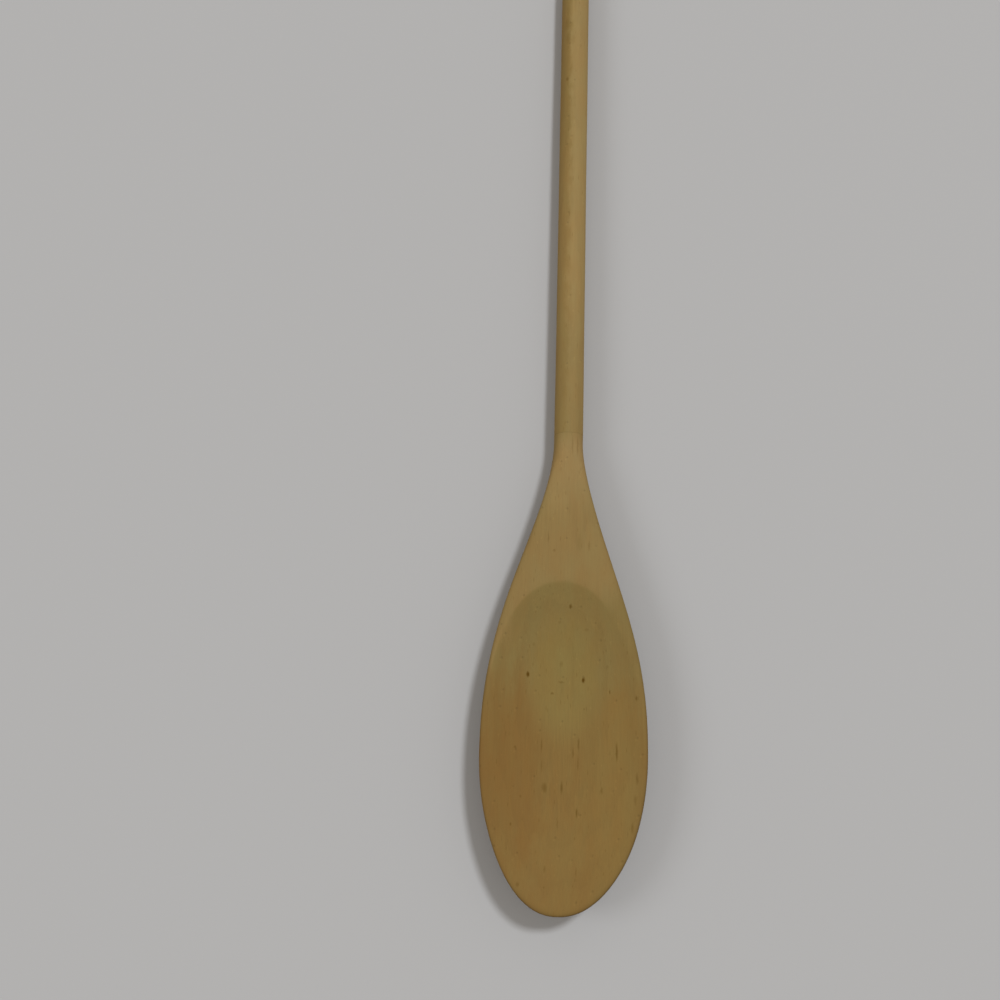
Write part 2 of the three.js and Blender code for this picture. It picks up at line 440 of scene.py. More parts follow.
class SpoonWood(bpy.types.PropertyGroup):
    """Colours and surface of the wood."""

    face_colour: FloatVectorProperty(
        name="Face",
        description="Wood of the flat face above the hollow",
        default=(0.255, 0.168, 0.057),
        **COLOUR,
    )
    neck_colour: FloatVectorProperty(
        name="Neck",
        description="Pale wood at the neck",
        default=(0.294, 0.195, 0.0725),
        **COLOUR,
    )
    stained_colour: FloatVectorProperty(
        name="Stained wood",
        description="Wood that food has reddened, towards the tip",
        default=(0.217, 0.130, 0.0356),
        **COLOUR,
    )
    reddened_colour: FloatVectorProperty(
        name="Reddened side",
        description="Deepest stain, on the left of the hollow",
        default=(0.207, 0.113, 0.0285),
        **COLOUR,
    )
    heart_colour: FloatVectorProperty(
        name="Pale heart",
        description="Yellower wood in the middle of the hollow",
        default=(0.226, 0.155, 0.0450),
        **COLOUR,
    )
    yellow_colour: FloatVectorProperty(
        name="Yellow side",
        description="Less stained wood on the right of the hollow",
        default=(0.228, 0.141, 0.039),
        **COLOUR,
    )
    # Darker, greyer wood in the mouth and towards the tip, partly painted shade of the mouth's slope and
    # of light falling off towards the tip
    hollow_and_shade_colour: FloatVectorProperty(
        name="Hollow",
        description="Wood inside the mouth of the hollow",
        default=(0.219, 0.149, 0.0465),
        **COLOUR,
    )
    handle_colour: FloatVectorProperty(
        name="Handle",
        description="Wood of the handle",
        default=(0.303, 0.204, 0.0738),
        **COLOUR,
    )
    joint_colour: FloatVectorProperty(
        name="Handle at the joint",
        description="Darker wood where the handle meets the neck",
        default=(0.260, 0.175, 0.0600),
        **COLOUR,
    )
    # Painted shade on the left of the handle and of the neck, turned from the key lamp, with darker
    # blotches of wood
    shade_and_blotch_colour: FloatVectorProperty(
        name="Held side",
        description="Handle wood that hands have darkened, along its left",
        default=(0.240, 0.152, 0.0450),
        **COLOUR,
    )
    fleck_colour: FloatVectorProperty(
        name="Flecks",
        description="Dark flecks and marks along the grain",
        default=(0.095, 0.045, 0.001),
        **COLOUR,
    )
    grain_contrast: FloatProperty(
        name="Grain contrast",
        description="How strongly streaks, growth layers and fibres show",
        default=1.0,
        **STRENGTH,
    )
    roughness: FloatProperty(
        name="Roughness",
        description="Mean roughness of the sanded wood",
        default=0.72,
        **SHARE,
    )


class SpoonStage(bpy.types.PropertyGroup):
    """Table, lamps and camera."""

    table_colour: FloatVectorProperty(
        name="Table",
        description="Plain pale table",
        default=(0.442, 0.434, 0.427),
        **COLOUR,
    )
    lamp_colour: FloatVectorProperty(
        name="Lamps",
        description="Slightly cool light of the lamps",
        default=(0.967, 1.011, 1.069),
        **LIGHT_COLOUR,
    )
    room_colour: FloatVectorProperty(
        name="Room",
        description="Slightly warm light of the room, which with the lamps gives white",
        default=(1.045, 0.985, 0.905),
        **LIGHT_COLOUR,
    )
    key_share: FloatProperty(
        name="Key light",
        description="Share of the table's light that the key lamp gives",
        default=0.45,
        **SHARE,
    )
    fill_share: FloatProperty(
        name="Fill light",
        description="Share of the table's light that the fill lamp gives",
        default=0.13,
        **SHARE,
    )
    room_share: FloatProperty(
        name="Room light",
        description="Share of the table's light that the room gives",
        default=0.42,
        **SHARE,
    )
    lens: FloatProperty(
        name="Lens",
        description="Focal length of the camera in millimetres",
        default=43.3,
        **LENS,
    )


def mix(low, high, share):
    """What lies a share of the way from one value to another."""
    return low + (high - low) * share


def smooth_step(value, low, high):
    """0 below low, 1 above high, smooth between."""
    share = np.clip((value - low) / (high - low), 0, 1)
    return share * share * (3 - 2 * share)


def soft_min(first, second, softness):
    """The lower of two heights, with the edge between them rounded."""
    share = np.clip(0.5 + 0.5 * (second - first) / softness, 0, 1)
    return mix(second, first, share) - softness * share * (1 - share)


def in_frame(sizes, across, station, height):
    """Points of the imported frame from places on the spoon."""
    parts = (
        np.multiply.outer(across, np.array(ACROSS)),
        np.multiply.outer(station - sizes.length, np.array(ALONG)),
        np.multiply.outer(height, np.array(UPWARDS)),
    )
    return np.array(END_POINT) + sum(parts)


def sanding(across, station, turn):
    """Slight unevenness, never outside the form."""
    short = np.sin(station / SHORT_WAVE[0] + across / SHORT_WAVE[1] + turn)
    long = np.sin(station / LONG_WAVE[0] + across / LONG_WAVE[1] + LONG_WAVE_TURN)
    return SANDING_DEPTH * (short + long - 2) / 4


def skin_faces(rings, columns):
    """Faces between closed rings of points, then fans to the two points that follow the rings."""
    ring, column = np.mgrid[: rings - 1, :columns]
    quads = [(ring + up) * columns + (column + on) % columns for up, on in CORNERS]
    near = np.arange(columns)
    far = (near + 1) % columns
    hub = np.full(columns, rings * columns)
    last = (rings - 1) * columns
    fans = [np.stack([hub, near, far], -1), np.stack([hub + 1, last + far, last + near], -1)]
    return np.stack(quads, -1).reshape(-1, 4).tolist() + np.concatenate(fans).tolist()


def corner_map(rings, columns, spot, hub):
    """Places on the flat map of the corners of a skin's faces, in the order of skin_faces.

    spot gives them from the ring and column of a corner and those of its face, and hub gives
    those of the points that close the ends.
    """
    ring, column = np.mgrid[: rings - 1, :columns]
    quads = [spot(ring + up, column + on, ring, column) for up, on in CORNERS]
    maps = [np.stack(quads, 2).reshape(-1, 2)]
    column = np.arange(columns)
    for end, steps in ((0, (0, 1)), (rings - 1, (1, 0))):
        ring = np.full(columns, end)
        sides = [spot(ring, column + step, ring, column) for step in steps]
        maps.append(np.stack([hub(ring, column), *sides], 1).reshape(-1, 2))
    return np.clip(np.concatenate(maps), 0, 1)


def set_values(mesh, name, values):
    """Numbers or vectors at the points of a mesh."""
    kind, field = ("FLOAT_VECTOR", "vector") if values.ndim == 2 else ("FLOAT", "value")
    layer = mesh.attributes.new(name, kind, "POINT")
    layer.data.foreach_set(field, values.astype(np.float32).ravel())


def add_piece(name, points, faces, attributes, corners):
    """A mesh object from points, faces, values at its points and a map for its corners."""
    mesh = bpy.data.meshes.new(name)
    mesh.from_pydata(points.tolist(), [], faces)
    for label, values in attributes.items():
        set_values(mesh, label, values)
    normals = np.zeros(len(mesh.vertices) * 3, np.float32)
    mesh.vertex_normals.foreach_get("vector", normals)
    set_values(mesh, "facing_up", smooth_step(normals[2::3], *FACING_FADE))
    layer = mesh.uv_layers.new(name="OFBake")
    layer.uv.foreach_set("vector", corners.astype(np.float32).ravel())
    mesh.shade_smooth()
    mesh.set_sharp_from_angle(angle=SHARP_ANGLE)
    mesh.validate()
    piece = bpy.data.objects.new(name, mesh)
    bpy.context.scene.collection.objects.link(piece)
    return piece


def tip_taper(sizes, station, squareness):
    """The share of its full size that the head keeps towards the tip."""
    towards_tip = np.maximum(1 - station / sizes.widest, 0)
    return (1 - towards_tip**squareness) ** (1 / squareness)


def swell(sizes, station):
    """How far the shoulders have swelled, from 0 at the neck to 1 at the bowl."""
    run = sizes.head_length - NECK_LENGTH - sizes.widest
    along = np.clip((station - sizes.widest) / run, 0, 1)
    return np.cos(math.pi / 2 * along**SHOULDER_FULLNESS) ** SHOULDER_FLARE


def section(sizes, station):
    """Edge height, half width, height above the edge, depth below it, and squareness."""
    bowl = swell(sizes, station)
    radius = sizes.handle_diameter / 2
    edge = sizes.edge_height * bowl
    bluntness = ROUND + TIP_BLUNTNESS * np.exp(-station / BLUNT_RUN)
    side = tip_taper(sizes, station, bluntness) * mix(radius, sizes.bowl_width / 2, bowl)
    past_mouth = np.maximum(station - sizes.mouth, 0) / (sizes.head_length - sizes.mouth)
    face = mix(sizes.deck_height, radius, past_mouth**2)
    above = tip_taper(sizes, station, RIM_SQUARENESS) * (face - edge)
    below = tip_taper(sizes, station, ROUND) * (edge + mix(radius, sizes.back_drop, bowl))
    flatness = smooth_step(sizes.head_length - station, 0, FACE_RUN)
    return edge, side, above, below, mix(ROUND, RIM_SQUARENESS, flatness)


def top_height(sizes, across, station):
    """The height of the uncut head's upper side."""
    edge, side, above, _, squareness = section(sizes, station)
    towards_edge = np.minimum(np.abs(across) / np.maximum(side, TINY), 1)
    return edge + above * (1 - towards_edge**squareness) ** (1 / squareness)


def dish(sizes, across, station):
    """Height of the hollow's surface, and how far towards its rim a place is."""
    half = sizes.bowl_width / 2 - sizes.rim_width
    to_mouth = station > sizes.widest
    reach = np.where(to_mouth, sizes.mouth - sizes.widest, sizes.widest - sizes.rim_width)
    power = np.where(to_mouth, MOUTH_SQUARENESS, ROUND)
    shift = MOUTH_SHIFT * smooth_step(station, sizes.widest, sizes.mouth)
    u = (across - shift) / half
    v = (station - sizes.widest) / reach
    radius = np.maximum((np.abs(u) ** power + np.abs(v) ** power) ** (1 / power), DISH_MIDDLE)
    endwise = np.maximum(v, 0) ** 2 / np.maximum(u**2 + v**2, TINY)
    fall = mix(FLOOR_FALL, MOUTH_FALL, endwise)
    rim_station = np.clip(sizes.widest + (station - sizes.widest) / radius, 0, sizes.mouth)
    rim_height = top_height(sizes, (across - shift) / radius, rim_station)
    sag = (sizes.deck_height - rim_height) * np.minimum(radius, RIM_REACH) ** RIM_SAG
    return sizes.deck_height + sizes.hollow_depth * (radius**fall - 1) - sag, radius


def even_points(across, height, count):
    """Points at equal steps along an outline."""
    steps = np.hypot(np.diff(across), np.diff(height))
    reach = np.concatenate([[0], np.cumsum(steps)])
    even = np.linspace(0, reach[-1], count + 1)
    return np.interp(even, reach, across), np.interp(even, reach, height)


def sway(station):
    """How far the head leans from the straight line of the handle."""
    shoulders = SHOULDER_SWAY * np.exp(-(((station - SWAY_CENTRE) / SWAY_RUN) ** 2))
    bowl = BOWL_SWAY * (1 - smooth_step(station, SWAY_FULL, SWAY_START))
    return shoulders + bowl + TIP_SWAY * np.maximum(1 - station / TIP_RUN, 0) ** 2


def head_stations(sizes):
    """Places of the rings from the tip to the joint, closest at the tip."""
    turn = np.linspace(0, math.pi / 2, TIP_RINGS + 1)[1:]
    bowl_end = sizes.mouth + BOWL_RUN_OUT
    bowl_rings = round((bowl_end - sizes.widest) / BOWL_STEP)
    neck_end = sizes.head_length - JOINT_CHAMFER
    neck_rings = round((neck_end - bowl_end) / NECK_STEP)
    return np.concatenate(
        [
            sizes.widest * (1 - np.cos(turn)),
            np.linspace(sizes.widest, bowl_end, bowl_rings + 1)[1:],
            np.linspace(bowl_end, neck_end, neck_rings + 1)[1:],
        ]
    )


def head_skin(sizes):
    """Rings of the head's skin: across, along and height, and how far each lies in the hollow."""
    over = np.linspace(0, math.pi, OUTLINE_SAMPLES)
    stations = head_stations(sizes)
    across = np.zeros((len(stations), HEAD_COLUMNS))
    height = np.zeros_like(across)
    hollow = np.zeros_like(across)
    for ring, station in enumerate(stations):
        edge, side, above, below, squareness = section(sizes, station)
        outline = np.sign(np.cos(over)) * np.abs(np.cos(over)) ** (2 / squareness)
        rise = np.maximum(np.sin(over), 0) ** (2 / squareness)
        face_x, face_h = even_points(side * outline, edge + above * rise, FACE_COLUMNS)
        floor, radius = dish(sizes, face_x, np.full_like(face_x, station))
        face_h = soft_min(face_h, floor, EDGE_SOFTNESS)
        back_x, back_h = even_points(-side * np.cos(over), edge - below * np.sin(over), BACK_COLUMNS)
        across[ring] = np.concatenate([face_x, back_x[1:-1]])
        height[ring] = np.concatenate([face_h, back_h[1:-1]])
        hollow[ring, : FACE_COLUMNS + 1] = 1 - smooth_step(radius, *MOUTH_FADE)
    along = np.broadcast_to(stations[:, None], across.shape)
    return across, along, height, hollow


def head_sanding(sizes, across, along):
    """How far sanding lowers the face and lifts the back, running out at the joint."""
    on_back = np.arange(HEAD_COLUMNS) > FACE_COLUMNS
    lift = sanding(across, along, np.where(on_back, BACK_TURN, 0.0)) * np.where(on_back, -1, 1)
    return lift * smooth_step(sizes.head_length - along, 0, HEAD_RUN_OUT)


def worn_flat(points):
    """Points on or above the table, with a soft edge round the flat of the back."""
    height = points[..., 2]
    flat = -soft_min(-height, np.zeros_like(height), FLAT_SOFTNESS)
    points[..., 2] = np.where(height < 2 * FLAT_SOFTNESS, flat, height)
    return points


def socket_rings(sizes, across, height):
    """Places of the rings of the joint's face and the socket, facing the points of the last ring."""
    turn = np.arctan2(height, across)
    socket = sizes.tenon_diameter / 2 + SOCKET_ROOM
    radius = np.array([[sizes.handle_diameter / 2 - JOINT_CHAMFER], [socket], [socket]])
    station = np.array([[sizes.head_length], [sizes.head_length], [socket_bottom(sizes)]])
    parts = np.broadcast_arrays(radius * np.cos(turn), station, radius * np.sin(turn))
    return np.stack(parts, -1)


def socket_bottom(sizes):
    """Where the blind socket ends, from the tip."""
    return sizes.head_length - sizes.tenon_length - SOCKET_END_ROOM


def upper_side(sizes, across, along, height):
    """1 on the face and in the hollow, fading over the edge to 0 on the back."""
    edge, side, *_ = section(sizes, along[:, 0])
    on_face = np.arange(HEAD_COLUMNS) <= FACE_COLUMNS
    inside = on_face & (np.abs(across) < side[:, None] - EDGE_FADE)
    return np.where(inside, 1.0, smooth_step(height - edge[:, None], -EDGE_FADE, EDGE_FADE))


def edge_wear_and_shade(sizes, across, along):
    """How dark the rim is: a little all round as wear, most at the outline on the lower right and at the
    tip as painted shade where the edge turns from the key lamp.
    """
    station = along[:, 0]
    side = section(sizes, station)[1]
    lean = np.hypot(1, np.gradient(side, station))
    inwards = (side[:, None] - np.abs(across)) / lean[:, None]
    lower_right = smooth_step(np.arctan2(across, along), *SHADED_BEARING)
    tip = TIP_SHADE * (1 - smooth_step(along, *TIP_SHADE_RUN))
    worn_and_shaded = mix(LEAST_WEAR, 1.0, np.maximum(lower_right, tip))
    return np.exp(-np.maximum(inwards, 0) / EDGE_WEAR_AND_SHADE) * worn_and_shaded


def tip_grain(along, hollow):
    """How much end grain shows, most at the tip, where the rings are closest."""
    ring_step = np.gradient(along[:, 0])[:, None]
    return np.exp(-ring_step / TIP_RING_STEP) * (1 - hollow)


def head_map(grid):
    """The face and the back side by side, with the hidden socket drawn short at their ends."""
    step = np.linalg.norm(np.diff(grid, axis=0, prepend=grid[:1]), axis=-1)
    step[-1] *= SOCKET_ON_MAP
    lengths = np.cumsum(step, 0)
    lengths = np.concatenate([lengths, lengths[:, :1]], 1)
    girth_step = np.linalg.norm(np.roll(grid, -1, 1) - grid, axis=-1)
    girths = np.concatenate([np.zeros((len(grid), 1)), np.cumsum(girth_step, 1)], 1)
    span = lengths.max() * MAP_ROOM
    from_face = girths - girths[:, FACE_COLUMNS // 2, None]
    from_back = girths - girths[:, FACE_COLUMNS + BACK_COLUMNS // 2, None]
    face_u = FACE_ON_MAP + WIDTH_ON_MAP * from_face / span
    back_u = BACK_ON_MAP + WIDTH_ON_MAP * from_back / span
    v = MAP_EDGE + lengths / span

    def spot(ring, column, face_ring, face_column):
        u = np.where(face_column < FACE_COLUMNS, face_u[ring, column], back_u[ring, column])
        return np.stack([u, v[ring, column]], -1)

    def hub(ring, column):
        u = np.where(column < FACE_COLUMNS, FACE_ON_MAP, BACK_ON_MAP)
        return np.stack([u, v[ring, column] + np.where(ring > 0, TIP_ON_MAP, -TIP_ON_MAP)], -1)

    return corner_map(len(grid), HEAD_COLUMNS, spot, hub)


def handle_profile(sizes):
    """Radius and place of each ring, from the tenon's end to the handle's end."""
    full, thin = sizes.handle_diameter / 2, sizes.tenon_diameter / 2
    joint = sizes.head_length + GLUE_LINE
    tenon_end = sizes.head_length - sizes.tenon_length
    points = [
        (thin - TENON_CHAMFER, tenon_end),
        (thin, tenon_end + TENON_CHAMFER),
        (thin, tenon_end + sizes.tenon_length / 2),
        (thin, joint),
        (full - JOINT_CHAMFER, joint),
        (full, joint + JOINT_CHAMFER),
    ]
    round_start = sizes.length - sizes.end_rounding
    count = round((round_start - joint) / SHAFT_STEP)
    points += [(full, s) for s in np.linspace(joint + JOINT_CHAMFER, round_start, count + 1)[1:]]
    for i in range(1, END_RINGS + 1):
        turn = math.pi / 2 * i / END_RINGS
        radius = full - sizes.end_rounding * (1 - math.cos(turn))
        points.append((radius, round_start + sizes.end_rounding * math.sin(turn)))
    radius, station = np.array(points).T
    return radius, station


def handle_map(sizes, grid, station):
    """The shaft in two strips side by side, and the tenon in a third."""
    step = np.linalg.norm(np.diff(grid[:, 0], axis=0, prepend=grid[:1, 0]), axis=-1)
    lengths = np.cumsum(step)
    middle = np.searchsorted(station, (sizes.head_length + sizes.length) / 2)
    starts = lengths[[SHOULDER_RING, middle, 0]]
    longest = max(starts[1] - starts[0], lengths[-1] - starts[1]) + STRIP_ROOM
    unit = STRIP_LENGTH / longest
    width = min(math.pi * sizes.handle_diameter * unit, STRIP_WIDTH)

    def spot(ring, column, face_ring, face_column):
        strip = np.where(face_ring < SHOULDER_RING, 2, np.where(face_ring < middle, 0, 1))
        u = MAP_EDGE + strip * STRIP_PITCH + column / HANDLE_COLUMNS * width
        return np.stack([u, STRIP_EDGE + (lengths[ring] - starts[strip]) * unit], -1)

    def hub(ring, column):
        place = spot(ring, column + 0.5, ring, column)
        place[:, 1] += np.where(ring > 0, STRIP_END, -STRIP_END)
        return place

    return corner_map(len(station), HANDLE_COLUMNS, spot, hub)


class Wire:
    """A shader socket in an expression: each sum on it adds a Math node."""

    def __init__(self, shader, socket):
        self.shader = shader
        self.socket = socket

    def __add__(self, other):
        return self.shader.math("ADD", self, other)

    def __radd__(self, other):
        return self.shader.math("ADD", other, self)

    def __sub__(self, other):
        return self.shader.math("SUBTRACT", self, other)

    def __rsub__(self, other):
        return self.shader.math("SUBTRACT", other, self)

    def __mul__(self, other):
        return self.shader.math("MULTIPLY", self, other)

    def __rmul__(self, other):
        return self.shader.math("MULTIPLY", other, self)


class Shader:
    """The node tree of one material or world."""

    def __init__(self, tree):
        self.tree = tree
        tree.nodes.clear()

    def add(self, kind, settings=None, sockets=None, output=0):
        """A node of a kind, with its settings, then the values or links of its sockets."""
        node = self.tree.nodes.new(kind)
        for name, value in (settings or {}).items():
            setattr(node, name, value)
        for name, value in (sockets or {}).items():
            if isinstance(value, Wire):
                self.tree.links.new(value.socket, node.inputs[name])
            else:
                node.inputs[name].default_value = value
        return Wire(self, node.outputs[output]) if node.outputs else None

    def math(self, operation, *values):
        """A sum on values."""
        return self.add("ShaderNodeMath", {"operation": operation}, dict(enumerate(values)))

    def vector(self, operation, first, second):
        """A sum on vectors or colours."""
        return self.add("ShaderNodeVectorMath", {"operation": operation}, {0: first, 1: second})

    def scaled(self, colour, share):
        """A colour made lighter or darker."""
        return self.add("ShaderNodeVectorMath", {"operation": "SCALE"}, {0: colour, 3: share})

    def step(self, value, low, high):
        """0 below low, 1 above high, smooth between."""
        settings = {"interpolation_type": "SMOOTHSTEP"}
        return self.add("ShaderNodeMapRange", settings, {0: value, 1: low, 2: high, 3: 0.0, 4: 1.0})

    def blend(self, share, first, second):
        """A colour between two others."""
        settings = {"data_type": "RGBA", "blend_type": "MIX", "clamp_factor": True}
        sockets = {0: share, 6: self.opaque(first), 7: self.opaque(second)}
        return self.add("ShaderNodeMix", settings, sockets, 2)

    @staticmethod
    def opaque(colour):
        """A colour as a Mix node takes it."""
        return colour if isinstance(colour, Wire) else (*colour, 1.0)

    def value(self, name):
        """The values that a mesh holds under a name."""
        return self.add("ShaderNodeAttribute", {"attribute_name": name}, {}, "Fac")

    def noise_node(self, place, grains, detail, roughness, output):
        """A noise texture with so many grains per millimetre each way."""
        at = self.vector("MULTIPLY", place, grains)
        sockets = {"Vector": at, "Scale": 1.0, "Detail": detail, "Roughness": roughness}
        return self.add("ShaderNodeTexNoise", {"noise_dimensions": "3D"}, sockets, output)

    def noise(self, place, *kind):
        """Noise that swings half a unit either way."""
        return self.noise_node(place, *kind, "Fac") - NOISE_MIDDLE

    def drift(self, place, *kind):
        """Places moved about by noise, half of its reach either way."""
        *kind, reach = kind
        noise = self.noise_node(place, *kind, "Color")
        moved = self.vector("SUBTRACT", noise, (NOISE_MIDDLE, NOISE_MIDDLE, NOISE_MIDDLE))
        return self.vector("ADD", place, self.vector("MULTIPLY", moved, reach))

    def cells(self, place, grains, dimensions="3D"):
        """Distance to scattered points, and a random value for each."""
        at = self.vector("MULTIPLY", place, grains)
        settings = {"voronoi_dimensions": dimensions, "feature": "F1"}
        distance = self.add("ShaderNodeTexVoronoi", settings, {"Vector": at, "Scale": 1.0})
        colour = Wire(self, distance.socket.node.outputs["Color"])
        return distance, self.add("ShaderNodeSeparateColor", {}, {0: colour})

    def reach(self, place, across, station, half_width, half_length):
        """How far a place is from the middle of an oval spot, 1 at its edge."""
        offset = self.vector("SUBTRACT", place, (across, station, 0.0))
        offset = self.vector("MULTIPLY", offset, (1 / half_width, 1 / half_length, 0.0))
        return self.add("ShaderNodeVectorMath", {"operation": "LENGTH"}, {0: offset}, "Value")


class Grain:
    """The grain of one piece of wood, as values that its shader can use."""

    def __init__(self, shader, marks):
        self.shader = shader
        self.place = shader.add("ShaderNodeAttribute", {"attribute_name": "wood_place"}, {}, "Vector")
        axes = shader.add("ShaderNodeSeparateXYZ", {}, {0: self.place}).socket.node.outputs
        self.across, self.station, self.height = (Wire(shader, axis) for axis in axes)
        self.upper = shader.value("upper_side")
        self.facing = shader.value("facing_up")
        self.hollow = shader.value("hollow")
        self.end = shader.value("end_grain")
        self.edge = shader.value("edge_wear_and_shade")
        self.along = shader.drift(self.place, *WANDER)
        self.streak = shader.noise(self.along, *STREAKS)
        self.fibre = shader.noise(self.along, *FIBRES)
        self.mottle = shader.noise(self.place, *MOTTLE)
        self.cloud = shader.noise(self.place, *CLOUDS)
        self.layer = self.growth_layer()
        self.fleck = self.dashes(*FLECKS)
        self.pore = self.dashes(*PORES)
        self.nick = self.dashes(*NICKS)
        # Each pit is painted in shade, with a painted highlight on its edge towards the key lamp
        self.pit = self.pits(self.place)
        self.pit_highlight = self.pits(shader.vector("ADD", self.place, PIT_EDGE))
        self.mark = self.single_marks(marks)

    def summed(self, start, weights):
        """A value with named features of the grain added, each by its weight."""
        return sum((weight * getattr(self, name) for name, weight in weights.items()), start)

    def fade(self, value, low, high, shifts):
        """0 below low, 1 above high, smooth between, with an edge that follows the grain."""
        return self.shader.step(self.summed(value, shifts), low, high)

    def growth_layer(self):
        """Growth layers, each darkening slowly and then ending at once."""
        depth = self.summed(self.height - LAYER_SLOPE * self.station, LAYER_SHIFTS)
        ring = self.shader.math("FRACT", depth * (1 / LAYER_DEPTH))
        return self.shader.step(ring, *LAYER_DARKENS) - self.shader.step(ring, *LAYER_ENDS)

    def dashes(self, grains, size, share):
        """Short dashes along the grain, on a share of the places where they could be."""
        distance, lot = self.shader.cells(self.along, grains)
        dash = 1.0 - self.shader.step(distance, DASH_CORE * size, size)
        return dash * self.shader.step(lot, 1.0 - share, 1.0)

    def pits(self, place):
        """Small round pits, far apart on the upper side."""
        distance, lot = self.shader.cells(place, PITS, "2D")
        pit = 1.0 - self.shader.step(distance, *PIT_FADE)
        return pit * self.shader.step(lot, *PIT_LOTS) * self.facing

    def patch(self, spot):
        """A soft patch on the upper side, ragged along the grain."""
        return (1.0 - self.fade(self.shader.reach(self.place, *spot), *PATCH_FADE)) * self.upper

    def single_marks(self, marks):
        """How dark the single marks make each place."""
        place = self.shader.drift(self.place, *SHAKE)
        dark = 0.0
        for *spot, darkness in marks:
            mark = 1.0 - self.shader.step(self.shader.reach(place, *spot), *MARK_FADE)
            dark = self.shader.math("MAXIMUM", darkness * mark, dark)
        return dark * self.facing


def wood_material(name, wood, tone, marks):
    """Beech: streaks, growth layers, fibres, ray flecks and single marks along the grain."""
    material = bpy.data.materials.new(name)
    material.use_nodes = True
    shader = Shader(material.node_tree)
    grain = Grain(shader, marks)
    colour, fibre_light = tone(shader, wood, grain)
    hue = shader.blend(shader.step(grain.cloud, *HUE_FADE), REDDER, GREENER)
    colour = shader.vector("MULTIPLY", colour, hue)
    light = wood.grain_contrast * grain.summed(fibre_light * grain.fibre, LIGHTENING)
    colour = shader.scaled(colour, grain.summed(1.0 + light, WEAR_AND_SHADE_LIGHTENING))
    fleck = FLECK_SHARE * wood.grain_contrast * grain.fleck
    colour = shader.blend(fleck, colour, wood.fleck_colour)
    colour = shader.blend(grain.mark, colour, wood.fleck_colour)
    height = grain.summed(0.0, RAISING)
    relief = {"Strength": RELIEF_STRENGTH, "Distance": RELIEF_DEPTH, "Height": height}
    sockets = {
        "Base Color": colour,
        "Roughness": grain.summed(wood.roughness, ROUGHENING),
        "Normal": shader.add("ShaderNodeBump", {}, relief),
        "Specular IOR Level": WOOD_SHINE,
    }
    bsdf = shader.add("ShaderNodeBsdfPrincipled", {}, sockets)
    shader.add("ShaderNodeOutputMaterial", {}, {"Surface": bsdf})
    return material


def head_tone(shader, wood, grain):
    """Colour and fibres: pale at the neck with painted shade on its left flank, darker and greyer in the
    mouth and towards the tip, partly as painted shade, reddened towards the tip.
    """
    pale = grain.fade(grain.station, *NECK_FADE)
    colour = shader.blend(pale, wood.face_colour, wood.neck_colour)
    joint = grain.fade(grain.station, *JOINT_FADE)
    colour = shader.blend(JOINT_SHARE * joint, colour, wood.joint_colour)
    # Painted shade on the neck's round left flank, turned from the key lamp, with darker unsanded wood
    flank = (1.0 - grain.fade(grain.across, *FLANK_SIDE)) * grain.fade(grain.station, *FLANK_FADE)
    colour = shader.blend(FLANK_SHARE * flank * grain.upper, colour, wood.shade_and_blotch_colour)
    # Darker, greyer wood towards the tip and in the hollow, partly painted shade of the mouth's slope
    # and of light falling off towards the tip
    used_and_shade = 1.0 - grain.fade(grain.station - USED_AND_SHADE_SLANT * grain.across, *USED_AND_SHADE_FADE)
    used_and_shade = shader.math("MAXIMUM", used_and_shade, grain.hollow)
    bare = (1.0 - grain.fade(grain.across, *BARE_SIDE)) * grain.fade(grain.station, *BARE_FADE)
    used_and_shade = used_and_shade * (1.0 - BARE_SHARE * bare) * grain.upper
    colour = shader.blend(used_and_shade, colour, wood.hollow_and_shade_colour)
    stain = 1.0 - grain.fade(grain.station, *STAIN_FADE)
    colour = shader.blend(stain, colour, wood.stained_colour)
    colour = shader.blend(REDDENED_SHARE * grain.patch(REDDENED_SIDE), colour, wood.reddened_colour)
    colour = shader.blend(grain.patch(YELLOW_SIDE), colour, wood.yellow_colour)
    colour = shader.blend(grain.patch(PALE_HEART), colour, wood.heart_colour)
    return colour, FIBRE_LIGHT + OPEN_FIBRE_LIGHT * grain.patch(OPEN_GRAIN)


def handle_tone(shader, wood, grain):
    """Colour and fibres: darker at the joint, paler along the grip, the left side darker as painted
    shade with darker blotches.
    """
    grip = grain.fade(grain.station, *GRIP_FADE)
    colour = shader.blend(grip, wood.joint_colour, wood.handle_colour)
    # Painted shade along the handle's left, turned from the key lamp; blotches of darker wood make its
    # edge ragged
    blotched = grain.across + BLOTCH_REACH * shader.noise(grain.place, *BLOTCHES)
    shade_and_blotch = (1.0 - grain.fade(blotched, *SHADE_AND_BLOTCH_SIDE)) * grain.upper
    shade_and_blotch = shade_and_blotch * mix(*SHADE_AND_BLOTCH_SHARE, grain.fade(grain.station, *SHADE_AND_BLOTCH_FADE))
    return shader.blend(shade_and_blotch, colour, wood.shade_and_blotch_colour), FIBRE_LIGHT


